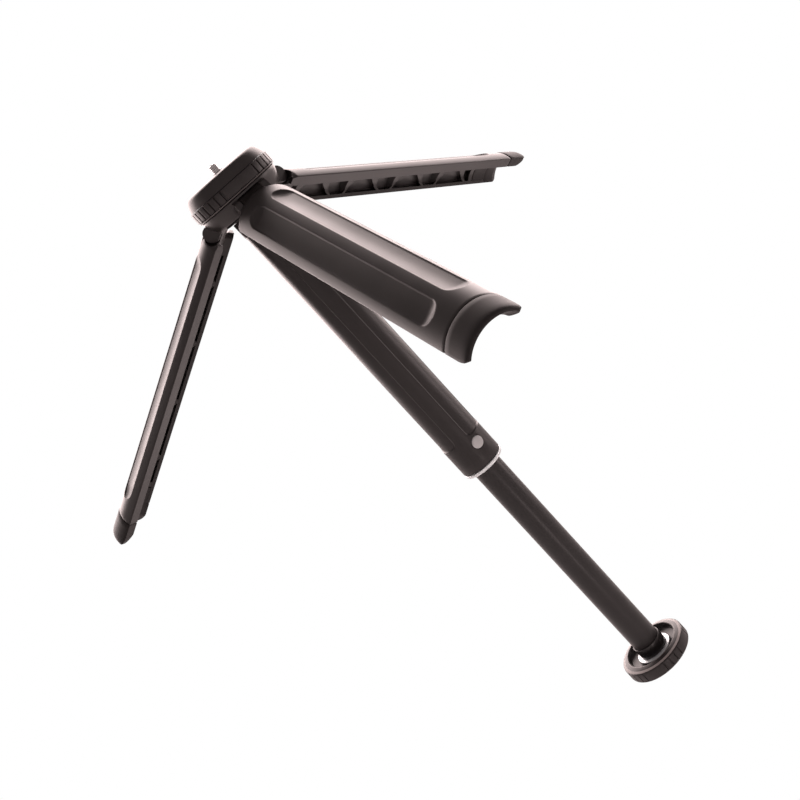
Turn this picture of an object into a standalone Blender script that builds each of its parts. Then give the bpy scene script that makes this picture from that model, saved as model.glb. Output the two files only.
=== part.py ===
"""Tripod-handle selfie stick: hub with three folding legs, grip tube, extension tube.

Metres, +Z up. The flat tip of the top stud is at the origin and the pole runs
down -Z. Heights below are given as millimetres under the lip of the top disc.
"""
import math

import bmesh
import bpy
from mathutils import Matrix, Vector

MM = 0.001

# --- driving sizes (mm) -------------------------------------------------------
STUD_R = 3.175            # 1/4"-20 thread, major radius
LIP_DROP = 24.5           # stud tip down to the lip of the disc
DISC_R = 33.2
DISC_BAND = 8.3           # height of the ribbed band
DISC_TOP = 18.0           # crown of the cap above the lip
HUB_R_TOP, HUB_R_LOW = 31.6, 26.8
HUB_H = 12.4
HINGE_R, HINGE_S = 28.5, 9.5
LEG_AZ = (30.0, -90.0, 150.0)
LEG_OPEN = 61.0           # degrees away from the grip tube at rest
LEG_LEN = 250.5           # hinge axis to the foot tip
FOOT_LEN = 20.0
LEG_RO, LEG_RI = 25.0, 16.9
LEG_RISE = 7.0            # outer crown of the leg above the hinge axis
LEG_HALF = 64.0           # half angle of the leg section
GRIP_R, GRIP_WALL = 16.8, 1.9
GRIP_END = 257.4
RING_LEN = 3.4
EXT_R, EXT_WALL = 11.3, 1.4
EXT_TOP, WHEEL_S = 226.0, 461.0
WHEEL_R, WHEEL_H = 28.2, 11.6
BUTTON_S, BUTTON_AZ, BUTTON_R = 240.5, -78.0, 4.7
PIN_R = 1.5
GAP = 0.3


def height(s):
    """World height (mm) of a point s mm under the disc lip."""
    return -LIP_DROP - s


def clear_scene():
    for item in list(bpy.data.objects):
        bpy.data.objects.remove(item, do_unlink=True)


def material(name, colour, metallic, rough):
    mat = bpy.data.materials.new(name)
    mat.use_nodes = True
    node = mat.node_tree.nodes["Principled BSDF"]
    node.inputs["Base Color"].default_value = (*colour, 1.0)
    node.inputs["Metallic"].default_value = metallic
    node.inputs["Roughness"].default_value = rough
    return mat


def add_object(name, bm, look=None, origin=(0.0, 0.0, 0.0)):
    """Finish a mesh given in mm and place its object origin (mm)."""
    bmesh.ops.remove_doubles(bm, verts=bm.verts, dist=1e-4)
    bmesh.ops.recalc_face_normals(bm, faces=bm.faces)
    shift = Matrix.Translation(-Vector(origin))
    bm.transform(Matrix.Scale(MM, 4) @ shift)
    mesh = bpy.data.meshes.new(name)
    bm.to_mesh(mesh)
    bm.free()
    obj = bpy.data.objects.new(name, mesh)
    obj.location = Vector(origin) * MM
    bpy.context.collection.objects.link(obj)
    if look:
        mesh.materials.append(material("mat_" + name, *look))
    return obj


def lathe(profile, seg, closed=True, notch=None, start=0.0):
    """Turn (radius, s[, weight]) points; notch(angle) * weight shrinks the radius."""
    bm = bmesh.new()
    rings = []
    for point in profile:
        radius, s = point[0], point[1]
        weight = point[2] if len(point) > 2 else 0.0
        if radius < 1e-6:
            rings.append([bm.verts.new((0.0, 0.0, height(s)))])
            continue
        ring = []
        for k in range(seg):
            ang = start + 360.0 * k / seg
            cut = notch(ang) * weight if notch and weight else 0.0
            rad = radius - cut
            ring.append(bm.verts.new((rad * math.cos(math.radians(ang)),
                                      rad * math.sin(math.radians(ang)), height(s))))
        rings.append(ring)
    pairs = list(zip(rings, rings[1:]))
    if closed:
        pairs.append((rings[-1], rings[0]))
    for low, high in pairs:
        if len(low) == 1 and len(high) == 1:
            continue
        for k in range(seg):
            j = (k + 1) % seg
            corners = [low[k % len(low)], low[j % len(low)], high[j % len(high)], high[k % len(high)]]
            bm.faces.new(list(dict.fromkeys(corners)))
    return bm


def prism(outline, lo, hi, place):
    """Close an outline between two depths; place(u, v, depth) gives the point."""
    bm = bmesh.new()
    ends = [[bm.verts.new(place(u, v, d)) for u, v in outline] for d in (lo, hi)]
    bm.faces.new(ends[0])
    bm.faces.new(ends[1])
    count = len(outline)
    for k in range(count):
        j = (k + 1) % count
        bm.faces.new((ends[0][k], ends[0][j], ends[1][j], ends[1][k]))
    return bm


def circle(cx, cy, radius, seg=32):
    return [(cx + radius * math.cos(2 * math.pi * k / seg),
             cy + radius * math.sin(2 * math.pi * k / seg)) for k in range(seg)]


def join(parts):
    """Gather separate closed meshes into one."""
    out = bmesh.new()
    for part in parts:
        mesh = bpy.data.meshes.new("tmp")
        part.to_mesh(mesh)
        part.free()
        out.from_mesh(mesh)
        bpy.data.meshes.remove(mesh)
    return out


def tool_body(name, bm, origin, spin=None):
    """A hidden body used only by a boolean modifier."""
    obj = add_object(name, bm, None, origin)
    obj.hide_render = True
    obj.display_type = 'WIRE'
    if spin:
        obj.matrix_world = spin
    return obj


def combine(obj, other, operation):
    mod = obj.modifiers.new(operation.lower() + "_" + other.name, 'BOOLEAN')
    mod.operation = operation
    mod.solver = 'EXACT'
    mod.object = other


# --- leg frame: x outward, y across, z along; origin on the hinge axis ----------
def leg_matrix(azimuth, opened=LEG_OPEN):
    turn = Matrix.Rotation(math.radians(azimuth), 4, 'Z')
    place = Matrix.Translation(Vector((HINGE_R, 0, height(HINGE_S))) * MM)
    lift = Matrix.Rotation(math.radians(-opened), 4, 'Y')
    return turn @ place @ lift


def leg_xy(radius, ang):
    """A point of the leg section, ang measured from its crown."""
    centre = LEG_RISE - LEG_RO
    rad = math.radians(ang)
    return centre + radius * math.cos(rad), radius * math.sin(rad)


def leg_sweep(stations, half=LEG_HALF, step=12):
    """Annular-sector solid through (z, inner radius, outer radius) stations."""
    bm = bmesh.new()
    loops = []
    for z, inner, outer in stations:
        angs = [-half + 2 * half * k / step for k in range(step + 1)]
        loop = [(*leg_xy(outer, a), z) for a in angs]
        loop += [(*leg_xy(inner, a), z) for a in reversed(angs)]
        loops.append([bm.verts.new(p) for p in loop])
    for end in (loops[0], loops[-1]):
        half_count = len(end) // 2
        for k in range(half_count - 1):
            bm.faces.new((end[k], end[k + 1], end[-k - 2], end[-k - 1]))
    for low, high in zip(loops, loops[1:]):
        for k in range(len(low)):
            j = (k + 1) % len(low)
            bm.faces.new((low[k], low[j], high[j], high[k]))
    return bm


def flute_cutter(side):
    """Long round-ended groove body along the crown, on one side of the ridge."""
    ang = 27.0 * side
    rad, depth = 8.6, 1.5
    top, low = -18.0, -(LEG_LEN - FOOT_LEN - 14.0)
    outline = [(rad * math.cos(math.radians(a)) * side, top - rad + rad * math.sin(math.radians(a)))
               for a in range(0, 181, 15)]
    outline += [(-u, top + low - v) for u, v in outline]
    cx, cy = leg_xy(0.0, 0.0)
    out = Vector((math.cos(math.radians(ang)), math.sin(math.radians(ang)), 0))
    side_dir = Vector((-out.y, out.x, 0))
    base = Vector((cx, cy, 0))

    def place(u, v, depth_pos):
        return base + out * depth_pos + side_dir * u + Vector((0, 0, v))
    return prism(outline, LEG_RO - depth, LEG_RO + 4.0, place)


APEXES = (-43.5, -92.0, -140.5, -189.0)   # where each pair of ribs meets, along the leg
RIB_HALF, RIB_REACH = 1.6, 17.3
POCKET_ANG, POCKET_R = 54.0, 20.8


def pocket_rows():
    """Pockets between the zigzag ribs as rows of (z, first angle, last angle)."""
    wide, shut = POCKET_ANG, POCKET_ANG - 1.0
    near, far = RIB_REACH - RIB_HALF, RIB_REACH + RIB_HALF
    pockets = []
    above = [(-21.0, -wide, wide)]
    for apex in APEXES:
        pockets.append(above + [(apex + far, -wide, wide), (apex + RIB_HALF, -wide, -shut)])
        pockets.append([(apex + near, shut, wide), (apex, 7.0 - wide, wide), (apex - near, shut, wide)])
        above = [(apex - RIB_HALF, -wide, -shut), (apex - far, -wide, wide)]
    pockets.append(above + [(-211.5, -wide, wide)])
    return pockets


def pocket_cutters():
    bodies = []
    for rows in pocket_rows():
        bm = bmesh.new()
        loops = []
        for z, first, last in rows:
            angs = [first + (last - first) * k / 4 for k in range(5)]
            loop = [(*leg_xy(POCKET_R, a), z) for a in angs]
            loop += [(*leg_xy(LEG_RI - 2.0, a), z) for a in reversed(angs)]
            loops.append([bm.verts.new(p) for p in loop])
        bm.faces.new(loops[0])
        bm.faces.new(loops[-1])
        for low, high in zip(loops, loops[1:]):
            for k in range(len(low)):
                j = (k + 1) % len(low)
                bm.faces.new((low[k], low[j], high[j], high[k]))
        bodies.append(bm)
    return join(bodies)


def build_leg(index, azimuth):
    tag = "_%d" % index
    seam = -(LEG_LEN - FOOT_LEN)
    look = ((0.035, 0.031, 0.030), 0.0, 0.45)
    shell = add_object("leg_shell" + tag, leg_sweep([(-3.8, LEG_RI + 1.5, LEG_RO - 1.0),
                                                      (-8.0, LEG_RI, LEG_RO),
                                                      (seam + GAP, LEG_RI, LEG_RO)]), look)
    relief = join([prism(circle(0, 0, 7.0), sign * 8.85, sign * 30.0, lambda u, v, d: (u, d, v))
                   for sign in (-1, 1)])
    combine(shell, tool_body("cut_relief" + tag, relief, (0, 0, 0)), 'DIFFERENCE')
    barrel = [(6.0 * math.cos(math.radians(a)), 6.0 * math.sin(math.radians(a)))
              for a in range(0, 181, 12)] + [(-6.0, -16.0), (6.0, -16.0)]
    knuckle = prism(barrel, -8.7, 8.7, lambda u, v, d: (u, d, v))
    combine(shell, tool_body("add_knuckle" + tag, knuckle, (0, 0, 0)), 'UNION')
    bore = prism(circle(0, 0, PIN_R + 0.15, 20), -12.0, 12.0, lambda u, v, d: (u, d, v))
    combine(shell, tool_body("cut_bore" + tag, bore, (0, 0, 0)), 'DIFFERENCE')
    flutes = join([flute_cutter(1), flute_cutter(-1)])
    combine(shell, tool_body("cut_flutes" + tag, flutes, (0, 0, 0)), 'DIFFERENCE')
    combine(shell, tool_body("cut_pockets" + tag, pocket_cutters(), (0, 0, 0)), 'DIFFERENCE')
    tip = -LEG_LEN
    foot = add_object("foot" + tag, leg_sweep([(seam - GAP, LEG_RI, LEG_RO),
                                                (tip + 7.0, LEG_RI, LEG_RO),
                                                (tip + 2.4, LEG_RI + 2.4, LEG_RO - 0.1),
                                                (tip + 0.7, LEG_RI + 3.6, LEG_RO - 0.8),
                                                (tip, LEG_RI + 4.4, LEG_RO - 2.2)]),
                      ((0.02, 0.019, 0.019), 0.0, 0.8))
    frame = leg_matrix(azimuth)
    for obj in [o for o in bpy.data.objects if o.name.endswith(tag) and o.type == 'MESH']:
        obj.matrix_world = frame
    pin = add_object("hinge_pin" + tag, prism(circle(0, 0, PIN_R, 20), -13.0, 13.0,
                                               lambda u, v, d: (u, d, v)),
                     ((0.05, 0.05, 0.05), 0.8, 0.4))
    pin.matrix_world = leg_matrix(azimuth, 0.0)


def build_hub():
    profile = [(9.0, 1.2), (HUB_R_TOP - 0.8, 1.2), (HUB_R_TOP, 1.8), (31.0, 4.4), (29.6, 8.0),
               (HUB_R_LOW + 0.6, HUB_H - 0.4), (HUB_R_LOW, HUB_H), (9.0, HUB_H)]
    hub = add_object("hub", lathe(profile, 64), ((0.02, 0.019, 0.019), 0.0, 0.4))
    for index, azimuth in enumerate(LEG_AZ, 1):
        ears = []
        outline = [(6.2 * math.cos(math.radians(a)), 6.2 * math.sin(math.radians(a)))
                   for a in range(-90, 91, 12)] + [(-9.0, 6.2), (-9.0, -2.0)]
        for sign in (-1, 1):
            ears.append(prism(outline, sign * 8.0, sign * 13.6, lambda u, v, d: (u, d, v)))
        ear = tool_body("add_ears%d" % index, join(ears), (0, 0, 0), leg_matrix(azimuth, 0.0))
        combine(hub, ear, 'UNION')
    for index, azimuth in enumerate(LEG_AZ, 1):
        slot = prism([(-6.9, 6.4), (16.0, 6.4), (16.0, -12.0), (-6.9, -12.0)], -9.05, 9.05,
                     lambda u, v, d: (u, d, v))
        combine(hub, tool_body("cut_slot%d" % index, slot, (0, 0, 0), leg_matrix(azimuth, 0.0)),
                'DIFFERENCE')
        bore = prism(circle(0, 0, PIN_R + 0.1, 20), -13.3, 13.3, lambda u, v, d: (u, d, v))
        combine(hub, tool_body("cut_pin%d" % index, bore, (0, 0, 0), leg_matrix(azimuth, 0.0)),
                'DIFFERENCE')
    add_object("stop_plate", lathe([(9.0, HUB_H + 0.3), (20.7, HUB_H + 0.3), (21.1, HUB_H + 0.7),
                                    (21.1, HUB_H + 1.5), (20.7, HUB_H + 1.9), (9.0, HUB_H + 1.9)], 72),
               ((0.02, 0.019, 0.019), 0.3, 0.4))
    add_object("hub_bolt", lathe([(0, -3.4), (6.5, -3.4), (6.5, 0.6), (7.6, 0.6), (7.6, 0.9),
                                  (6.5, 0.9), (6.5, 26.0), (5.9, 26.6), (0, 26.6)], 40, False),
               ((0.55, 0.55, 0.56), 1.0, 0.35))


def disc_notch(ang):
    """Eight narrow grooves in each of three groups between the legs."""
    local = (ang - 30.0) % 120.0 - 60.0
    if abs(local) > 36.5:
        return 0.0
    offset = abs(((local + 35.0) + 5.0) % 10.0 - 5.0)
    return 1.0 if offset < 1.3 else 0.0


def build_disc():
    band_top = -DISC_BAND
    add_object("lip_ring", lathe([(8.4, 0.05), (DISC_R - 0.5, 0.05), (DISC_R - 0.1, 0.35),
                                  (DISC_R - 0.5, 0.9), (8.4, 0.9)], 64),
               ((0.12, 0.11, 0.11), 0.3, 0.35))
    add_object("grip_ring", lathe([(22.0, band_top), (DISC_R - 0.6, band_top, 0.8),
                                   (DISC_R, band_top + 0.5, 0.9), (DISC_R, -0.6, 0.9),
                                   (DISC_R - 0.4, -GAP, 0.6), (22.0, -GAP)], 180,
                                  notch=disc_notch),
               ((0.03, 0.028, 0.028), 0.0, 0.5))
    crown = [(3.6, -DISC_TOP), (12.0, -17.85), (22.0, -17.3), (27.4, -16.6), (29.4, -15.7),
             (30.9, -13.8), (32.0, -11.2), (32.6, band_top - GAP), (21.6, band_top - GAP),
             (21.6, -GAP), (7.9, -GAP), (7.9, -5.0), (3.6, -5.0)]
    add_object("cap", lathe(crown, 64), ((0.03, 0.028, 0.028), 0.0, 0.4))
    add_object("top_stud", lathe([(0, -LIP_DROP), (2.4, -LIP_DROP), (STUD_R, -LIP_DROP + 0.8),
                                  (STUD_R, -4.7), (6.0, -4.7), (6.0, -3.7), (0, -3.7)], 32, False),
               ((0.75, 0.75, 0.76), 1.0, 0.25))


def grip_notch(ang):
    """Three wide shallow flats between narrower ridges."""
    local = (ang + 106.0 + 60.0) % 120.0 - 60.0
    edge = abs(local) - 18.0
    return max(0.0, min(1.0, edge / 2.0))


def build_grip():
    inner = GRIP_R - GRIP_WALL
    top, r_lo = 15.2, GRIP_END - 23.5
    weights = [(top, 0.0), (24.0, 0.0), (25.0, 1.0), (r_lo - 1.0, 1.0), (r_lo, 0.0)]
    profile = [(inner, top)] + [(GRIP_R, s, 0.7 * w) for s, w in weights]
    profile += [(GRIP_R, GRIP_END), (inner, GRIP_END)]
    tube = add_object("grip_tube", lathe(profile, 90, notch=grip_notch, start=2.0),
                      ((0.035, 0.032, 0.031), 0.0, 0.45))
    turn = Matrix.Rotation(math.radians(BUTTON_AZ), 4, 'Z')
    hole = prism(circle(0, 0, BUTTON_R + GAP, 40), 13.0, 20.0, lambda u, v, d: (d, u, v))
    place = turn @ Matrix.Translation(Vector((0, 0, height(BUTTON_S))) * MM)
    combine(tube, tool_body("cut_button", hole, (0, 0, 0), place), 'DIFFERENCE')
    knob = bmesh.new()
    rows = [(BUTTON_R + 0.7, 12.6), (BUTTON_R + 0.7, 13.5), (BUTTON_R, 13.5), (BUTTON_R, 16.9),
            (BUTTON_R - 0.4, 17.2)]
    loops = [[knob.verts.new((d, u, v)) for u, v in circle(0, 0, r, 40)] for r, d in rows]
    knob.faces.new(loops[0])
    knob.faces.new(loops[-1])
    for low, high in zip(loops, loops[1:]):
        for k in range(40):
            j = (k + 1) % 40
            knob.faces.new((low[k], low[j], high[j], high[k]))
    button = add_object("lock_button", knob, ((0.7, 0.68, 0.66), 1.0, 0.35))
    button.matrix_world = place
    add_object("tube_plug", lathe([(6.8, 14.6), (inner - GAP, 14.6), (inner - GAP, 27.0),
                                   (6.8, 27.0)], 64), ((0.1, 0.1, 0.1), 0.0, 0.6))
    add_object("guide_bush", lathe([(EXT_R + GAP, GRIP_END - 6.0), (inner - GAP, GRIP_END - 6.0),
                                    (inner - GAP, GRIP_END + 0.3), (EXT_R + GAP, GRIP_END + 0.3)], 64),
               ((0.08, 0.08, 0.08), 0.0, 0.5))
    low = GRIP_END + 0.6
    add_object("end_ring", lathe([(EXT_R + GAP, low), (GRIP_R - 0.2, low), (GRIP_R, low + 0.3),
                                  (GRIP_R - 0.1, low + 1.6), (GRIP_R - 0.9, low + 2.5),
                                  (EXT_R + 1.4, low + RING_LEN), (EXT_R + GAP, low + RING_LEN)], 64),
               ((0.8, 0.79, 0.78), 1.0, 0.3))


def build_extension():
    inner = EXT_R - EXT_WALL
    end = WHEEL_S + 3.4
    add_object("extension_tube", lathe([(inner, EXT_TOP), (EXT_R, EXT_TOP), (EXT_R, end), (inner, end)], 64),
               ((0.03, 0.029, 0.029), 0.6, 0.4))
    add_object("tail_plug", lathe([(0, EXT_TOP - 9.0), (13.9, EXT_TOP - 9.0), (14.3, EXT_TOP - 8.5),
                                   (14.3, EXT_TOP - GAP), (inner - GAP, EXT_TOP - GAP),
                                   (inner - GAP, EXT_TOP + 12.0), (0, EXT_TOP + 12.0)], 64, False),
               ((0.08, 0.08, 0.08), 0.0, 0.5))
    add_object("end_sleeve", lathe([(EXT_R + 0.1, WHEEL_S - 6.6), (EXT_R + 0.6, WHEEL_S - 6.6),
                                    (EXT_R + 0.9, WHEEL_S - 6.2), (EXT_R + 0.9, end),
                                    (EXT_R + 0.1, end)], 64), ((0.02, 0.02, 0.02), 0.0, 0.35))
    add_object("steel_washer", lathe([(4.6, end + 0.3), (14.6, end + 0.3), (14.9, end + 0.6),
                                      (14.9, end + 1.2), (14.6, end + 1.5), (4.6, end + 1.5)], 72),
               ((0.8, 0.8, 0.8), 1.0, 0.25))
    add_object("end_plug", lathe([(3.6, end - 26.0), (inner - GAP, end - 26.0), (inner - GAP, end),
                                  (3.6, end)], 48), ((0.08, 0.08, 0.08), 0.0, 0.5))


def wheel_notch(ang):
    """Five groups of four fine grooves, one group over the front leg."""
    local = (ang + 90.0 + 36.0) % 72.0 - 36.0
    offset = abs((local + 16.5 + 5.5) % 11.0 - 5.5)
    return 1.0 if abs(local) < 18.5 and offset < 1.3 else 0.0


def build_wheel():
    top, low = WHEEL_S, WHEEL_S + WHEEL_H
    floor = top + 5.4
    profile = [(3.5, floor), (21.0, floor), (21.8, top + 0.3), (22.3, top),
               (23.4, top + 0.2), (WHEEL_R - 0.4, top + 1.9, 0.5), (WHEEL_R, top + 2.4, 0.8),
               (WHEEL_R, low - 1.2, 0.8), (WHEEL_R - 1.4, low),
               (19.6, low), (19.6, low - 1.0), (3.5, low - 1.0)]
    add_object("thumbwheel", lathe(profile, 180, notch=wheel_notch), ((0.03, 0.028, 0.028), 0.0, 0.45))
    add_object("wheel_pad", lathe([(3.5, low - 0.7), (19.3, low - 0.7), (19.3, low + 0.6),
                                   (18.9, low + 1.0), (3.5, low + 1.0)], 72), ((0.02, 0.02, 0.02), 0.0, 0.85))
    tip = low + 13.4
    add_object("camera_screw", lathe([(0, top - 10.0), (STUD_R, top - 10.0), (STUD_R, tip - 0.8),
                                      (2.4, tip), (0, tip)], 32, False), ((0.75, 0.75, 0.76), 1.0, 0.25))


clear_scene()
build_hub()
build_disc()
build_grip()
build_extension()
build_wheel()
for number, heading in enumerate(LEG_AZ, 1):
    build_leg(number, heading)
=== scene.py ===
import math

import bmesh
import bpy
import numpy as np
from mathutils import Matrix, Vector


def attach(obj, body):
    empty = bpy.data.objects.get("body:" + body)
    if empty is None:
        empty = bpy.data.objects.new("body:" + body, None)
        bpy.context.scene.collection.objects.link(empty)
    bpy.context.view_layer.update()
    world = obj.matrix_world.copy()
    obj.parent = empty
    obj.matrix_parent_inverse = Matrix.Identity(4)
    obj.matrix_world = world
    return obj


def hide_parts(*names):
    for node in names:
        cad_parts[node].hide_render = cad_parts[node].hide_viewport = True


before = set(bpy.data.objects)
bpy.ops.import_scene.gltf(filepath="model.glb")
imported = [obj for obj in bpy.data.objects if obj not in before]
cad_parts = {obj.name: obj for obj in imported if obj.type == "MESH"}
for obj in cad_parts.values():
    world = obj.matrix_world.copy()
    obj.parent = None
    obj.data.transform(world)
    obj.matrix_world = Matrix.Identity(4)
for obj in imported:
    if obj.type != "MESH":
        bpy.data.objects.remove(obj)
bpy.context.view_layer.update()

# Shapes are drawn in mm and turned into metres when a mesh is made. A height s is the distance
# below the lower edge of the disc, and zz(s) is the same height in the frame. A leg's own z runs
# from 0 at its hinge pin to -LEG_LEN at its tip. Angles are in degrees.
MM = 0.001

LIP_DROP = 24.5                              # from the stud's tip, the origin, to the disc's edge
DISC_R, BAND, CROWN = 33.2, 8.3, 18.0        # disc: radius, height of its ring, height with cap
STUD_R, PITCH = 3.175, 1.27                  # 1/4 inch camera thread, 20 turns per inch
HINGE_R, HINGE_S, OPEN = 28.5, 9.5, 61.0     # hinge pins: radius, height, legs' angle at rest
LEG_AZ = (30.0, -90.0, 150.0)
LEG_LEN, FOOT_LEN = 250.5, 20.0
LEG_RO, LEG_RI, RISE, HALF = 25.0, 16.9, 7.0, 64.0      # leg: radii, height of its back, half arc
SEAM = -(LEG_LEN - FOOT_LEN)                 # where the shell meets the rubber foot
GRIP_R, GRIP_IN, GRIP_TOP, GRIP_END = 16.8, 14.9, 15.2, 257.4
BUTTON_S, BUTTON_AZ, BUTTON_R = 240.5, -78.0, 4.7
EXT_R, EXT_IN, EXT_TOP = 11.3, 9.9, 226.0
WHEEL_S, WHEEL_R, WHEEL_H = 461.0, 28.2, 11.6
EXT_END = WHEEL_S + 3.4

# how meshes are finished
WELD = 1e-4                                  # points closer than this are merged
SMOOTH, SMOOTH_ROUND, SMOOTH_THREAD = 32.0, 40.0, 50.0  # edges sharper than this stay sharp
ARC_STEPS = 4                                # steps around a rounded corner
SEG_FINE, SEG_LARGE, SEG_SMALL = 1080, 256, 192         # steps around a turned body


def zz(s):
    return -LIP_DROP - s


def polar(radius, angle):
    turn = math.radians(angle)
    return radius * math.cos(turn), radius * math.sin(turn)


def step(value, low, high):
    """A smooth step from 0 at low to 1 at high."""
    t = min(1.0, max(0.0, (value - low) / (high - low)))
    return t * t * (3 - 2 * t)


def levels(*spans):
    """Heights from spans of (first, last, count)."""
    return [float(value) for span in spans for value in np.linspace(*span)]


# ------------------------------------------------------------------ materials
BROAD_SCALE, BROAD_DETAIL, FINE_DETAIL = 38.0, 4.0, 2.0
RAMP_ENDS = (0.3, 0.7)
ROUGH_LESS, ROUGH_MORE = 0.05, 0.06
COAT_ROUGH = 0.25
GRAIN_DEPTH = 0.00003
EDGE_SAMPLES = 4


def material(name):
    mat = bpy.data.materials.new(name)
    mat.use_nodes = True
    tree = mat.node_tree
    return mat, tree, tree.nodes["Principled BSDF"]


def noise(tree, scale, detail, stretch=(1, 1, 1)):
    coord = tree.nodes.new("ShaderNodeTexCoord")
    maps = tree.nodes.new("ShaderNodeMapping")
    maps.inputs["Scale"].default_value = stretch
    tex = tree.nodes.new("ShaderNodeTexNoise")
    tex.inputs["Scale"].default_value = scale
    tex.inputs["Detail"].default_value = detail
    tree.links.new(coord.outputs["Object"], maps.inputs["Vector"])
    tree.links.new(maps.outputs["Vector"], tex.inputs["Vector"])
    return tex.outputs["Fac"]


def remap(tree, value, low, high):
    node = tree.nodes.new("ShaderNodeMapRange")
    node.inputs["To Min"].default_value = low
    node.inputs["To Max"].default_value = high
    tree.links.new(value, node.inputs["Value"])
    return node.outputs["Result"]


def mix_colour(tree, value, dark, light):
    ramp = tree.nodes.new("ShaderNodeValToRGB")
    first, last = ramp.color_ramp.elements
    first.color, last.color = (*dark, 1.0), (*light, 1.0)
    first.position, last.position = RAMP_ENDS
    tree.links.new(value, ramp.inputs["Fac"])
    return ramp.outputs["Color"]


def surface(name, dark, light, rough, metal=0.0, level=0.5, coat=0.0, grain=900.0, bump=0.15,
            edge=0.0003, stretch=(1, 1, 1)):
    """A mottled surface with fine grain, uneven gloss and softened edges."""
    mat, tree, out = material(name)
    fine = noise(tree, grain, FINE_DETAIL, stretch)
    broad = noise(tree, BROAD_SCALE, BROAD_DETAIL)
    gloss = remap(tree, broad, rough - ROUGH_LESS, rough + ROUGH_MORE)
    tree.links.new(mix_colour(tree, broad, dark, light), out.inputs["Base Color"])
    tree.links.new(gloss, out.inputs["Roughness"])
    out.inputs["Metallic"].default_value = metal
    out.inputs["Specular IOR Level"].default_value = level
    out.inputs["Coat Weight"].default_value = coat
    out.inputs["Coat Roughness"].default_value = COAT_ROUGH
    soft = tree.nodes.new("ShaderNodeBevel")
    soft.samples = EDGE_SAMPLES
    soft.inputs["Radius"].default_value = edge
    lump = tree.nodes.new("ShaderNodeBump")
    lump.inputs["Strength"].default_value = bump
    lump.inputs["Distance"].default_value = GRAIN_DEPTH
    tree.links.new(fine, lump.inputs["Height"])
    tree.links.new(soft.outputs["Normal"], lump.inputs["Normal"])
    tree.links.new(lump.outputs["Normal"], out.inputs["Normal"])
    return mat


LOOKS = {
    "body": surface("satin_black", (0.0150, 0.0125, 0.0122), (0.0185, 0.0155, 0.0150), 0.36),
    "leg": surface("satin_leg", (0.0125, 0.0105, 0.0101), (0.0160, 0.0134, 0.0130), 0.34,
                   level=0.46),
    "hub": surface("hub_black", (0.0180, 0.0155, 0.0150), (0.0225, 0.0192, 0.0186), 0.34),
    "tube": surface("tube_coat", (0.0150, 0.0132, 0.0132), (0.0190, 0.0168, 0.0166), 0.30,
                    metal=0.1, coat=0.1, grain=1500.0),
    "rubber": surface("foot_rubber", (0.0115, 0.0098, 0.0095), (0.0150, 0.0128, 0.0125), 0.50,
                      level=0.32, grain=700.0, bump=0.3),
    "gloss": surface("gloss_black", (0.016, 0.015, 0.015), (0.022, 0.020, 0.020), 0.22),
    "dark": surface("dark_plate", (0.012, 0.011, 0.011), (0.018, 0.017, 0.016), 0.45, metal=0.2),
    "steel": surface("bright_steel", (0.74, 0.74, 0.74), (0.86, 0.86, 0.86), 0.30,
                     metal=0.75, grain=400.0, bump=0.05, stretch=(1, 1, 14)),
    "silver": surface("satin_silver", (0.87, 0.94, 0.96), (0.93, 0.99, 1.00), 0.36,
                      metal=0.5, grain=600.0, bump=0.04),
    "button": surface("button_silver", (0.55, 0.57, 0.57), (0.63, 0.64, 0.64), 0.38,
                      metal=0.7, grain=500.0, bump=0.05),
    "pale": surface("rim_edge", (0.30, 0.27, 0.26), (0.36, 0.33, 0.32), 0.42, edge=0.0002),
    # painted highlight: the lip ring is coloured much lighter than the black body to stand for the
    # light caught along the disc's lower edge
    "lip": surface("lip_painted_highlight", (0.10, 0.09, 0.088), (0.14, 0.125, 0.12), 0.4, edge=0.0002),
    "inner": surface("inner_plastic", (0.09, 0.09, 0.09), (0.12, 0.12, 0.12), 0.6),
}


# ------------------------------------------------------------- making objects
def link(name, data):
    obj = bpy.data.objects.new(name, data)
    bpy.context.collection.objects.link(obj)
    return obj


def new_object(name, bm, matrix):
    """An object from a body drawn in mm, with its faces turned outward."""
    bmesh.ops.recalc_face_normals(bm, faces=bm.faces)
    bm.transform(Matrix.Scale(MM, 4))
    if matrix is not None:
        bm.transform(matrix)
    mesh = bpy.data.meshes.new(name)
    bm.to_mesh(mesh)
    bm.free()
    return link(name, mesh)


def soften(obj, angle):
    """Smooth shading, with edges above an angle kept sharp."""
    mesh = obj.data
    mesh.polygons.foreach_set("use_smooth", [True] * len(mesh.polygons))
    bm = bmesh.new()
    bm.from_mesh(mesh)
    limit = math.radians(angle)
    for edge in bm.edges:
        edge.smooth = len(edge.link_faces) == 2 and edge.calc_face_angle(0.0) < limit
    bm.to_mesh(mesh)
    bm.free()


def finish_mesh(name, bm, matrix=None, smooth=SMOOTH):
    bmesh.ops.remove_doubles(bm, verts=bm.verts, dist=WELD)
    obj = new_object(name, bm, matrix)
    soften(obj, smooth)
    return obj


def carve(obj, bm, operation, matrix=None):
    """Cut a closed body from obj, or unite it with obj, and keep a plain mesh."""
    tool = new_object("cutter", bm, matrix)
    mod = obj.modifiers.new("carve", 'BOOLEAN')
    mod.operation = operation
    mod.solver = 'EXACT'
    mod.object = tool
    graph = bpy.context.evaluated_depsgraph_get()
    fresh = bpy.data.meshes.new_from_object(obj.evaluated_get(graph))
    obj.modifiers.clear()
    used = (obj.data, tool.data)
    obj.data = fresh
    bpy.data.objects.remove(tool)
    for mesh in used:
        bpy.data.meshes.remove(mesh)
    soften(obj, SMOOTH)


def paint(obj, look):
    obj.data.materials.clear()
    obj.data.materials.append(LOOKS[look])


def dress(obj, look, body, node=None):
    """Paint a mesh, let it ride on a body and, if named, stand for a CAD piece."""
    paint(obj, look)
    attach(obj, body)
    if node:
        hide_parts(node)


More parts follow.
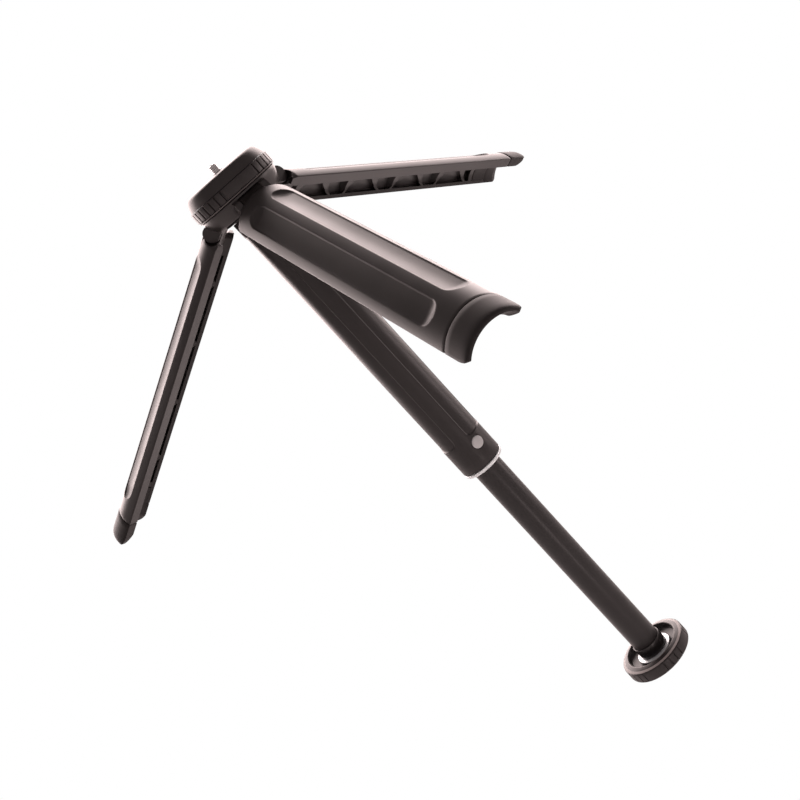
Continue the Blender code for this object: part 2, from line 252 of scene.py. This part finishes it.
# ------------------------------------------------------------- drawing shapes
def skin(rows, capped=True):
    """Skin rows of points, each a closed loop. Without caps the last row joins the first."""
    bm = bmesh.new()
    loops = [[bm.verts.new(point) for point in row] for row in rows]
    pairs = list(zip(loops, loops[1:]))
    if not capped:
        pairs.append((loops[-1], loops[0]))
    count = len(loops[0])
    for low, high in pairs:
        for k in range(count):
            j = (k + 1) % count
            bm.faces.new((low[k], low[j], high[j], high[k]))
    if capped:
        bm.faces.new(loops[0])
        bm.faces.new(loops[-1])
    return bm


def lathe(profile, seg, shape=None):
    """Turn a closed (radius, s) profile; shape(angle, radius, s) may change the radius."""
    rows = []
    for radius, s in profile:
        row = []
        for k in range(seg):
            angle = 360.0 * k / seg
            own = shape(angle, radius, s) if shape else radius
            row.append((*polar(own, angle), zz(s)))
        rows.append(row)
    return skin(rows, capped=False)


def turned(name, profile, seg, look, body, node=None, shape=None, smooth=SMOOTH):
    """Lathe a profile and dress it."""
    dress(finish_mesh(name, lathe(profile, seg, shape), smooth=smooth), look, body, node)


def rounded(points, radius):
    """Round each corner of a closed (radius, s) profile by a small arc."""
    out = []
    count = len(points)
    for k in range(count):
        a, b, c = (Vector(points[i % count]) for i in (k - 1, k, k + 1))
        size = min(radius, (a - b).length * 0.45, (c - b).length * 0.45)
        start = b + (a - b).normalized() * size
        end = b + (c - b).normalized() * size
        for i in range(ARC_STEPS + 1):
            t = i / ARC_STEPS
            out.append(tuple((1 - t) ** 2 * start + 2 * t * (1 - t) * b + t * t * end))
    return out


def band(inner, outer, top, low, corner):
    """The rounded profile of a plain ring."""
    return rounded([(inner, top), (outer, top), (outer, low), (inner, low)], corner)


def across(u, v, depth):
    """A point of an outline seen along the hinge pin."""
    return (u, depth, v)


def outward(u, v, depth):
    """A point of an outline seen along the radius."""
    return (depth, u, v)


def prism(outline, low, high, place=across):
    return skin([[place(u, v, depth) for u, v in outline] for depth in (low, high)])


def circle(radius, seg):
    return [polar(radius, 360.0 * k / seg) for k in range(seg)]


def join(parts):
    out = bmesh.new()
    for part in parts:
        mesh = bpy.data.meshes.new("part")
        part.to_mesh(mesh)
        part.free()
        out.from_mesh(mesh)
        bpy.data.meshes.remove(mesh)
    return out


def groove(angle, middle, groups, count, spacing, flank):
    """1 in a groove and 0 beside it, for groups of grooves around a rim."""
    period, half = 360.0 / groups, count * spacing / 2
    local = (angle - middle + period / 2) % period - period / 2
    if abs(local) >= half:
        return 0.0
    offset = abs((local + half) % spacing - spacing / 2)
    return 1.0 - step(offset, *flank)


# -------------------------------------------------------------------- threads
THREAD_SEG, THREAD_ROWS = 48, 10             # steps around, and rows per turn of the thread
THREAD_DEPTH, THREAD_FORM = 0.62, 0.8
CHAMFER, CHAMFER_FORM = 0.9, 1.5


def thread(name, top, low, body, node):
    """A 1/4 inch stud with a real helical thread between two heights, chamfered at both."""
    count = int(abs(low - top) / PITCH * THREAD_ROWS)
    rows = []
    for i in range(count + 1):
        s = top + (low - top) * i / count
        near = min(abs(s - top), abs(s - low))
        chamfer = CHAMFER * max(0.0, 1.0 - near / CHAMFER) ** CHAMFER_FORM
        row = []
        for k in range(THREAD_SEG):
            phase = (s / PITCH + k / THREAD_SEG) % 1.0
            cut = THREAD_DEPTH * (1.0 - abs(2.0 * phase - 1.0)) ** THREAD_FORM
            row.append((*polar(STUD_R - cut - chamfer, 360.0 * k / THREAD_SEG), zz(s)))
        rows.append(row)
    dress(finish_mesh(name, skin(rows), smooth=SMOOTH_THREAD), "steel", body, node)


# ----------------------------------------------------------------------- disc
DISC_IN = 24.0                               # bore of the ring and of the cap's lower half
DISC_GROOVES = {"middle": 90.0, "groups": 3, "count": 8, "spacing": 10.0, "flank": (0.75, 1.45)}
DISC_CUT = 1.0
RING_EDGE = 0.45                             # fillet on the ring's upper edge
CAP_BORE, DOME_R, DOME_FALL = 3.5, 27.0, 0.75
CAP_SIDE = [(28.0, -16.85), (28.9, -16.3), (29.6, -15.5), (30.2, -14.5), (30.9, -13.0),
            (31.6, -11.3), (32.2, -9.6), (32.55, -8.6)]
LIP_IN = 8.4
COLLAR_IN, COLLAR_OUT = 3.6, 5.2
STUD_GAP, STUD_LOW = 0.02, -4.0              # short of the origin, and the end inside the cap


def build_disc():
    top, peak, inner = -BAND, -CROWN, DISC_R - RING_EDGE

    def ribs(angle, radius, s):
        if radius < DISC_R - 1.2:
            return radius
        return radius - DISC_CUT * groove(angle, **DISC_GROOVES) * step(s, top + 0.35, top + 0.9)

    ring = [(DISC_IN, top)]
    ring += [(inner + RING_EDGE * math.sin(a), top + RING_EDGE - RING_EDGE * math.cos(a))
             for a in np.linspace(0, math.pi / 2, 6)]
    ring += [(DISC_R, top + 0.6), (DISC_R, top + 1.0), (DISC_R, -0.8), (DISC_R - 0.15, -0.45),
             (DISC_R - 0.5, -0.3), (DISC_IN, -0.3)]
    turned("disc_ring", ring, SEG_FINE, "body", "disc", "grip_ring", ribs, SMOOTH_ROUND)
    dome = [(r, peak + DOME_FALL * (r / DOME_R) ** 2) for r in np.linspace(5.0, 26.6, 12)]
    cap = [(CAP_BORE, peak + 0.3), (3.8, peak), *dome, *CAP_SIDE,
           (DISC_IN, -8.5), (DISC_IN, -5.0), (CAP_BORE, -5.0)]
    turned("disc_cap", cap, SEG_LARGE, "body", "disc", "cap", smooth=SMOOTH_ROUND)
    # the lip ring's light colour is a painted highlight along the disc's lower edge
    lip = band(LIP_IN, DISC_R - 0.3, 0.05, 0.9, 0.3)
    turned("lip_edge", lip, SEG_LARGE, "lip", "base", "lip_ring")
    collar = band(COLLAR_OUT, COLLAR_IN, peak - 0.25, peak + 0.4, 0.15)
    turned("stud_collar", collar, 96, "steel", "disc")
    thread("stud_thread", -LIP_DROP + STUD_GAP, STUD_LOW, "disc", "top_stud")


# ------------------------------------------------------------------------ hub
HUB_BORE, HUB_TOP, HUB_LOW = 9.0, 1.2, 12.4
HUB_SIDE = [(31.2, HUB_TOP), (31.62, 1.7), (31.5, 2.6), (31.1, 4.0), (30.4, 5.9), (29.6, 7.8),
            (28.7, 9.7), (27.9, 11.2), (27.4, 12.0), (26.8, HUB_LOW)]
EAR_R, EAR_BACK, EAR_IN, EAR_OUT = 6.2, -9.0, 8.0, 13.6
SLOT = [(-6.9, 6.4), (16.0, 6.4), (16.0, -12.0), (-6.9, -12.0)]
SLOT_HALF = 9.05                             # half the width of the slot a leg swings in
HUB_PIN_R, HUB_PIN_HALF = 1.6, 13.3
PLATE_R, PLATE_TOP, PLATE_LOW = 21.1, 12.7, 14.3


def leg_matrix(azimuth, opened=OPEN):
    """From a leg's own axes to the frame."""
    turn = Matrix.Rotation(math.radians(azimuth), 4, 'Z')
    place = Matrix.Translation(Vector((HINGE_R, 0, zz(HINGE_S))) * MM)
    lift = Matrix.Rotation(math.radians(-opened), 4, 'Y')
    return turn @ place @ lift


def build_hub():
    profile = [(HUB_BORE, HUB_TOP), *HUB_SIDE, (HUB_BORE, HUB_LOW)]
    hub = finish_mesh("hub_body", lathe(profile, SEG_LARGE))
    ear = [polar(EAR_R, a) for a in range(-90, 91, 5)] + [(EAR_BACK, EAR_R), (EAR_BACK, -2.0)]
    for azimuth in LEG_AZ:
        place = leg_matrix(azimuth, 0.0)
        ears = join([prism(ear, side * EAR_IN, side * EAR_OUT) for side in (-1, 1)])
        carve(hub, ears, 'UNION', place)
        carve(hub, prism(SLOT, -SLOT_HALF, SLOT_HALF), 'DIFFERENCE', place)
        bore = prism(circle(HUB_PIN_R, 32), -HUB_PIN_HALF, HUB_PIN_HALF)
        carve(hub, bore, 'DIFFERENCE', place)
    dress(hub, "hub", "base", "hub")
    plate = band(HUB_BORE, PLATE_R, PLATE_TOP, PLATE_LOW, 0.35)
    turned("under_plate", plate, SEG_SMALL, "dark", "base", "stop_plate")


# ----------------------------------------------------------------------- legs
FLUTE_ANG, FLUTE_W = 27.4, 8.5               # a flute's middle, off the back, and half its width
FLUTE_TOP, FLUTE_LOW = -19.0, SEAM + 14.5
FLUTE_LIP, FLUTE_BOWL = 0.35, 2.3            # drop at a flute's edge, further depth in its middle
ROOT, ROOT_OUT, ROOT_IN = (3.8, 8.0), 1.2, 1.5          # the wall's taper near the hinge
SEAM_DROP = 0.25
SIDE_EDGE, SIDE_DROP = 1.2, 0.35             # rounding along the shell's long edges
SHELL_SPANS = ((-3.8, -10, 14), (-10, -34, 40), (-34, SEAM + 30, 60),
               (SEAM + 30, SEAM + 9, 36), (SEAM + 9, SEAM + 0.3, 10))
CHEEK_R, CHEEK_IN, CHEEK_OUT = 7.0, 8.85, 30.0          # cleared beside the hinge
BARREL_R, BARREL_HALF = 6.0, 8.7
LEG_PIN_R, LEG_PIN_HALF = 1.65, 12.0

APEXES = (-43.5, -92.0, -140.5, -189.0)      # where the zigzag ribs meet
RIB_HALF, REACH, WIDE, POCKET_R = 1.4, 17.3, 54.5, 20.8
FIRST_POCKET, LAST_POCKET = -21.0, -211.5
CUT_R = LEG_RI - 2.0                         # cutters start this far inside the shell
RECESS_TOP, RECESS_ANG, RECESS_R = -215.7, 56.0, 20.2   # thinner wall above the foot
LINER_TOP, LINER_ANG, LINER_R = -216.6, 55.4, 19.9      # the foot's rubber that fills it

# rubber foot from the seam to the tip: z, inner trim, outer trim, side trim
FOOT_ROWS = [(SEAM - 0.3, 0.25, 0.25, 0.5), (SEAM - 0.65, 0.0, 0.0, 0.0),
             (-235.0, 0.0, 0.0, 0.0), (-240.5, 0.0, 0.0, 0.0), (-241.7, 0.25, 0.0, 0.0),
             (-243.5, 1.2, 0.0, 0.15), (-245.5, 2.4, 0.0, 0.5), (-247.5, 3.6, 0.1, 1.1),
             (-248.8, 4.4, 0.3, 1.8), (-249.7, 4.9, 0.7, 2.6), (-250.2, 5.2, 1.2, 3.4),
             (-LEG_LEN, 5.5, 1.9, 4.4)]


def leg_xy(radius, angle):
    x, y = polar(radius, angle)
    return RISE - LEG_RO + x, y


def side_edge(angle, half):
    return SIDE_DROP * step(abs(angle), half - SIDE_EDGE, half)


def flute_depth(angle, z):
    """How far the outer skin sits under the plain cylinder."""
    arc = math.radians(abs(angle) - FLUTE_ANG) * LEG_RO
    middle = min(max(z, FLUTE_LOW + FLUTE_W), FLUTE_TOP - FLUTE_W)
    inside = FLUTE_W - math.hypot(arc, z - middle)
    if inside <= 0:
        return 0.0
    bowl = 1.0 - (1.0 - inside / FLUTE_W) ** 2
    return (FLUTE_LIP + FLUTE_BOWL * bowl) * step(inside, 0.0, 1.0)


def shell_rows():
    """Loops of the half shell: the fluted outside one way, the plain inside back."""
    angles = np.linspace(-HALF, HALF, 131)
    rows = []
    for z in sorted(set(levels(*SHELL_SPANS)), reverse=True):
        taper = 1 - step(-z, *ROOT)
        lift = ROOT_OUT * taper + SEAM_DROP * (1 - step(z - SEAM, 0.3, 0.7))
        row = [(*leg_xy(LEG_RO - flute_depth(a, z) - side_edge(a, HALF) - lift, a), z)
               for a in angles]
        row += [(*leg_xy(LEG_RI + ROOT_IN * taper, a), z) for a in angles[::-5]]
        rows.append(row)
    return rows


def pocket_rows():
    """Pockets between the zigzag ribs as rows of (z, first angle, last angle)."""
    shut, full, foot = WIDE - 0.8, REACH + RIB_HALF, REACH - RIB_HALF
    pockets = [[(FIRST_POCKET, -WIDE, WIDE), (APEXES[0] + full, -WIDE, WIDE),
                (APEXES[0] + RIB_HALF, -WIDE, -shut)]]
    for apex, following in zip(APEXES, APEXES[1:]):
        pockets.append([(apex - RIB_HALF, -WIDE, -shut), (apex - full, -WIDE, WIDE),
                        (following + full, -WIDE, WIDE), (following + RIB_HALF, -WIDE, -shut)])
    pockets.append([(APEXES[-1] - RIB_HALF, -WIDE, -shut), (APEXES[-1] - full, -WIDE, WIDE),
                    (LAST_POCKET, -WIDE, WIDE)])
    for apex in APEXES:
        pockets.append([(apex + foot, shut, WIDE), (apex, -WIDE + 5.5, WIDE),
                        (apex - foot, shut, WIDE)])
    return pockets


def polar_body(rows, low, high, count):
    """A body between two radii of the leg, from rows of (z, first angle, last angle)."""
    loops = []
    for z, first, last in rows:
        angles = np.linspace(first, last, count)
        loops.append([(*leg_xy(high, a), z) for a in angles]
                     + [(*leg_xy(low, a), z) for a in angles[::-1]])
    return skin(loops)


def build_shell():
    """One leg shell on its own axes, which the three legs copy."""
    shell = finish_mesh("leg_master", skin(shell_rows()))
    cheeks = [prism(circle(CHEEK_R, 96), side * CHEEK_IN, side * CHEEK_OUT) for side in (-1, 1)]
    carve(shell, join(cheeks), 'DIFFERENCE')
    barrel = [polar(BARREL_R, a) for a in range(0, 181, 5)]
    barrel += [(-BARREL_R, -16.0), (5.2, -16.0), (5.6, -9.0)]
    carve(shell, prism(barrel, -BARREL_HALF, BARREL_HALF), 'UNION')
    carve(shell, prism(circle(LEG_PIN_R, 40), -LEG_PIN_HALF, LEG_PIN_HALF), 'DIFFERENCE')
    pockets = [polar_body(rows, CUT_R, POCKET_R, 16) for rows in pocket_rows()]
    carve(shell, join(pockets), 'DIFFERENCE')
    recess = [(z, -RECESS_ANG, RECESS_ANG) for z in (RECESS_TOP, SEAM - 2.0)]
    carve(shell, polar_body(recess, CUT_R, RECESS_R, 40), 'DIFFERENCE')
    return shell


def foot_rows():
    """Rubber foot: tight outer end, hollowed sloping inner end, crisp side corners."""
    rows = []
    for z, inner, outer, trim in FOOT_ROWS:
        half = HALF - math.degrees(trim / LEG_RO)
        angles = np.linspace(-half, half, 49)
        row = [(*leg_xy(LEG_RO - outer - side_edge(a, half), a), z) for a in angles]
        row += [(*leg_xy(LEG_RI + inner, a), z) for a in angles[::-1]]
        rows.append(row)
    return rows


def build_legs():
    master = build_shell()
    for index, azimuth in enumerate(LEG_AZ, 1):
        body = "leg_%d" % index
        place = leg_matrix(azimuth)
        mesh = master.data.copy()
        mesh.transform(place)
        dress(link("shell_%d" % index, mesh), "leg", body, "leg_shell_%d" % index)
        foot = finish_mesh("pad_%d" % index, skin(foot_rows()), place, SMOOTH_ROUND)
        dress(foot, "rubber", body, "foot_%d" % index)
        rows = [(z, -LINER_ANG, LINER_ANG) for z in (LINER_TOP, SEAM - 0.2)]
        liner = polar_body(rows, LEG_RI + 0.05, LINER_R, 40)
        dress(finish_mesh("pad_liner_%d" % index, liner, place), "rubber", body)
    bpy.data.objects.remove(master)


# ------------------------------------------------------------------ grip tube
RIDGE_AZ, PANEL_HALF = -106.0, 42.0          # one ridge between panels, half a panel's arc
PANEL_TOP, PANEL_LOW = 26.0, GRIP_END - 23.5
PANEL_CORNER, PANEL_DEPTH, PANEL_EDGE = 5.0, 0.7, 1.1
GRIP_SPANS = ((GRIP_TOP, 32.0, 30), (34.0, PANEL_LOW - 8, 50),
              (PANEL_LOW - 7.4, PANEL_LOW + 0.6, 22))
BUTTON_GAP = 0.35
BUTTON_HOLE = (13.0, 20.0)                   # how far from the pole's axis the hole runs
# lock button: radius and distance from the pole's axis
BUTTON_STEPS = [(5.4, 12.6), (5.4, 13.5), (BUTTON_R, 13.5), (BUTTON_R, 16.75), (4.6, 16.95),
                (4.4, 17.08), (4.1, 17.15), (2.5, 17.22), (0.5, 17.25)]
# bright ring: radius and distance under its upper face
END_RING = [(11.6, 0.0), (16.5, 0.0), (16.72, 0.15), (16.8, 0.5), (16.78, 1.2), (16.6, 1.9),
            (16.1, 2.6), (15.2, 3.1), (14.0, 3.35), (12.4, 3.4), (11.6, 3.4)]


def grip_shape(angle, radius, s):
    """Three wide shallow panels with rounded corners between narrow ridges."""
    if radius < GRIP_R - 0.01:
        return radius
    off_ridge = abs((angle - RIDGE_AZ + 60.0) % 120.0 - 60.0)
    arc = math.radians(60.0 - off_ridge) * GRIP_R
    half_w = math.radians(PANEL_HALF) * GRIP_R
    middle, half_h = (PANEL_TOP + PANEL_LOW) / 2, (PANEL_LOW - PANEL_TOP) / 2
    off_middle = abs(s - middle)
    if arc > half_w or off_middle > half_h:
        return radius
    dx = max(0.0, arc - (half_w - PANEL_CORNER))
    dy = max(0.0, off_middle - (half_h - PANEL_CORNER))
    return radius - PANEL_DEPTH * step(PANEL_CORNER - math.hypot(dx, dy), 0.0, PANEL_EDGE)


def build_grip():
    heights = levels(*GRIP_SPANS) + [GRIP_END - 16, GRIP_END - 8, GRIP_END - 0.5]
    profile = [(GRIP_IN, GRIP_TOP), *((GRIP_R, s) for s in heights),
               (GRIP_R - 0.15, GRIP_END - 0.15), (GRIP_R - 0.5, GRIP_END), (GRIP_IN, GRIP_END)]
    tube = finish_mesh("grip_body", lathe(profile, 288, grip_shape))
    turn = Matrix.Rotation(math.radians(BUTTON_AZ), 4, 'Z')
    place = turn @ Matrix.Translation(Vector((0, 0, zz(BUTTON_S))) * MM)
    hole = prism(circle(BUTTON_R + BUTTON_GAP, 72), *BUTTON_HOLE, outward)
    carve(tube, hole, 'DIFFERENCE', place)
    dress(tube, "body", "base", "grip_tube")
    knob = skin([[outward(u, v, depth) for u, v in circle(r, 72)] for r, depth in BUTTON_STEPS])
    dress(finish_mesh("button_cap", knob, place, SMOOTH_ROUND), "button", "button", "lock_button")
    ring = [(r, GRIP_END + 0.6 + s) for r, s in END_RING]
    turned("collar_ring", ring, SEG_LARGE, "silver", "base", "end_ring")


# -------------------------------------------------------- extension and wheel
SLEEVE_GAP, SLEEVE_WALL, SLEEVE_RISE = 0.08, 0.9, 6.6
WASHER_IN, WASHER_OUT = 4.6, 14.9
WHEEL_GROOVES = {"middle": -90.0, "groups": 5, "count": 4, "spacing": 11.0, "flank": (0.6, 1.15)}
WHEEL_CUT = 0.7
WHEEL_BORE, CUP_FLOOR, PAD_SEAT = 3.5, 5.4, 19.6
SCREW_RISE, SCREW_REACH = 10.0, 13.4         # the screw above the wheel and below it


def build_extension():
    tube = band(EXT_IN, EXT_R, EXT_TOP, EXT_END, 0.25)
    turned("inner_pole", tube, SEG_LARGE, "tube", "extension", "extension_tube")
    sleeve = band(EXT_R + SLEEVE_GAP, EXT_R + SLEEVE_WALL, WHEEL_S - SLEEVE_RISE, EXT_END, 0.3)
    turned("pole_sleeve", sleeve, SEG_SMALL, "gloss", "extension", "end_sleeve")
    washer = band(WASHER_IN, WASHER_OUT, EXT_END + 0.3, EXT_END + 1.5, 0.3)
    turned("bright_washer", washer, SEG_SMALL, "silver", "extension", "steel_washer")


def build_wheel():
    top, low, rim = WHEEL_S, WHEEL_S + WHEEL_H, WHEEL_R

    def ribs(angle, radius, s):
        if radius < rim - 1.0 or s > low - 0.2:
            return radius
        return radius - WHEEL_CUT * groove(angle, **WHEEL_GROOVES) * step(s, top + 1.7, top + 3.0)

    cup = [(WHEEL_BORE, top + CUP_FLOOR), (20.6, top + CUP_FLOOR), (21.0, top + 5.1),
           (21.3, top + 4.4), (21.8, top + 0.5), (22.0, top + 0.15), (22.4, top),
           (22.9, top + 0.05), (rim - 0.9, top + 1.75), (rim - 0.4, top + 2.0),
           (rim - 0.1, top + 2.35), (rim, top + 2.8), (rim, top + 5.0), (rim, low - 1.3),
           (rim - 0.15, low - 0.8), (rim - 0.55, low - 0.3), (rim - 1.2, low),
           (PAD_SEAT, low), (PAD_SEAT, low - 1.0), (WHEEL_BORE, low - 1.0)]
    turned("wheel_cup", cup, SEG_FINE, "body", "wheel", "thumbwheel", ribs, SMOOTH_ROUND)
    bevel = [(22.5, top - 0.06), (rim - 0.75, top + 1.78), (rim - 0.8, top + 1.95),
             (22.5, top + 0.1)]
    turned("wheel_rim", bevel, SEG_LARGE, "pale", "wheel")
    pad = band(WHEEL_BORE, PAD_SEAT - 0.3, low - 0.7, low + 1.0, 0.35)
    turned("rubber_pad", pad, SEG_SMALL, "rubber", "wheel", "wheel_pad")
    thread("screw_thread", top - SCREW_RISE, low + SCREW_REACH, "wheel", "camera_screw")


# ------------------------------------------------------------------ internals
INTERNALS = {"hub_bolt": "steel", "tube_plug": "inner", "guide_bush": "inner",
             "tail_plug": "inner", "end_plug": "inner",
             "hinge_pin_1": "dark", "hinge_pin_2": "dark", "hinge_pin_3": "dark"}


def paint_internals():
    for node, look in INTERNALS.items():
        paint(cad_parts[node], look)


# ---------------------------------------------------------------- photo stage
# the camera, solved from the object's outlines: place, axes, lens in mm and lens shift
CAM = {"pos": (-0.16637, -0.82115, -0.01086),
       "rot": ((0.677474, 0.690047, -0.254684),
               (-0.361083, 0.010345, -0.932476),
               (-0.640818, 0.723690, 0.256174)),
       "lens": 53.983, "shift": (-0.11900, -0.04960)}
SENSOR, NEAR = 36.0, 0.01

TINT = (0.84, 0.82)                          # green and blue of the warm light, for a red of 1
SKY_MIDDLE, LIGHT_AIM = Vector((0, 0, -0.2)), Vector((0, 0, -0.22))
# the light around the object: its share from the side away from the camera, 0, to the near side, 1
SKY_POWER, SKY_FIRST, SKY_LAST = 5.0, 1.0, 0.085
SKY_MARKS = ((0.18, 1.0), (0.25, 0.75), (0.29, 0.20), (0.33, 0.045), (0.38, 0.027),
             (0.47, 0.038), (0.60, 0.066))
FLOOR_HALF, FLOOR_Z = 6.0, -1.30
FLOOR_COLOUR, FLOOR_ROUGH = (0.8, 0.79, 0.79, 1.0), 0.9

# lamps: direction on the camera's right, up and back axes, distance, size, power
LIGHTS = {"side": ((-1.0, -0.25, 0.1), 1.6, 0.5, 0.5),
          "rim": ((0.8, 0.55, -0.15), 1.6, 0.5, 2.2),
          "low": ((0.6, -0.57, -0.54), 1.0, 0.5, 1.2),
          "front": ((0.6, -0.32, 0.74), 1.9, 0.3, 0.9)}


def warm(value):
    return (value, value * TINT[0], value * TINT[1])


def camera_mix(tree, others, camera):
    """One shader for the camera's rays and another for every other ray."""
    path = tree.nodes.new("ShaderNodeLightPath")
    mix = tree.nodes.new("ShaderNodeMixShader")
    tree.links.new(path.outputs["Is Camera Ray"], mix.inputs["Fac"])
    tree.links.new(others.outputs[0], mix.inputs[1])
    tree.links.new(camera.outputs[0], mix.inputs[2])
    return mix.outputs[0]


def build_camera():
    data = bpy.data.cameras.new("camera")
    obj = link("camera", data)
    obj.matrix_world = Matrix.Translation(Vector(CAM["pos"])) @ Matrix(CAM["rot"]).to_4x4()
    data.sensor_width = SENSOR
    data.lens = CAM["lens"]
    data.shift_x, data.shift_y = CAM["shift"]
    data.clip_start = NEAR
    bpy.context.scene.camera = obj
    return obj


def build_world(camera):
    """A white background for the camera, and soft light mostly from behind the object."""
    world = bpy.data.worlds.new("studio")
    bpy.context.scene.world = world
    world.use_nodes = True
    tree = world.node_tree
    tree.nodes.clear()
    coord = tree.nodes.new("ShaderNodeTexCoord")
    dot = tree.nodes.new("ShaderNodeVectorMath")
    dot.operation = 'DOT_PRODUCT'
    toward = camera.matrix_world.to_translation() - SKY_MIDDLE
    dot.inputs[1].default_value = toward.normalized()
    tree.links.new(coord.outputs["Generated"], dot.inputs[0])
    share = tree.nodes.new("ShaderNodeMapRange")
    share.inputs["From Min"].default_value = -1.0
    tree.links.new(dot.outputs["Value"], share.inputs["Value"])
    ramp = tree.nodes.new("ShaderNodeValToRGB")
    ramp.color_ramp.interpolation = 'EASE'
    first, last = ramp.color_ramp.elements
    first.position, last.position = 0.0, 1.0
    first.color, last.color = (*warm(SKY_FIRST), 1.0), (*warm(SKY_LAST), 1.0)
    for place, value in SKY_MARKS:
        ramp.color_ramp.elements.new(place).color = (*warm(value), 1.0)
    tree.links.new(share.outputs["Result"], ramp.inputs["Fac"])
    soft = tree.nodes.new("ShaderNodeBackground")
    soft.inputs["Strength"].default_value = SKY_POWER
    tree.links.new(ramp.outputs["Color"], soft.inputs["Color"])
    plain = tree.nodes.new("ShaderNodeBackground")
    plain.inputs["Color"].default_value = (1.0, 1.0, 1.0, 1.0)
    end = tree.nodes.new("ShaderNodeOutputWorld")
    tree.links.new(camera_mix(tree, soft, plain), end.inputs["Surface"])


def build_floor():
    """A pale floor, which the camera sees as plain white."""
    mesh = bpy.data.meshes.new("floor")
    size, low = FLOOR_HALF, FLOOR_Z
    mesh.from_pydata([(-size, -size, low), (size, -size, low), (size, size, low),
                      (-size, size, low)], [], [(0, 1, 2, 3)])
    mat, tree, out = material("paper")
    out.inputs["Base Color"].default_value = FLOOR_COLOUR
    out.inputs["Roughness"].default_value = FLOOR_ROUGH
    glow = tree.nodes.new("ShaderNodeEmission")
    tree.links.new(camera_mix(tree, out, glow), tree.nodes["Material Output"].inputs["Surface"])
    mesh.materials.append(mat)
    link("floor", mesh)


def build_lights(camera):
    axes = camera.matrix_world.to_3x3()
    for name, (direction, distance, size, power) in LIGHTS.items():
        data = bpy.data.lights.new(name, 'AREA')
        data.energy = power
        data.size = size
        data.color = warm(1.0)
        obj = link(name, data)
        obj.location = LIGHT_AIM + (axes @ Vector(direction)).normalized() * distance
        obj.rotation_euler = (LIGHT_AIM - obj.location).to_track_quat('-Z', 'Y').to_euler()


def main():
    build_disc()
    build_hub()
    build_legs()
    build_grip()
    build_extension()
    build_wheel()
    paint_internals()
    camera = build_camera()
    build_world(camera)
    build_floor()
    build_lights(camera)
    bpy.context.scene.view_settings.view_transform = 'Standard'


main()
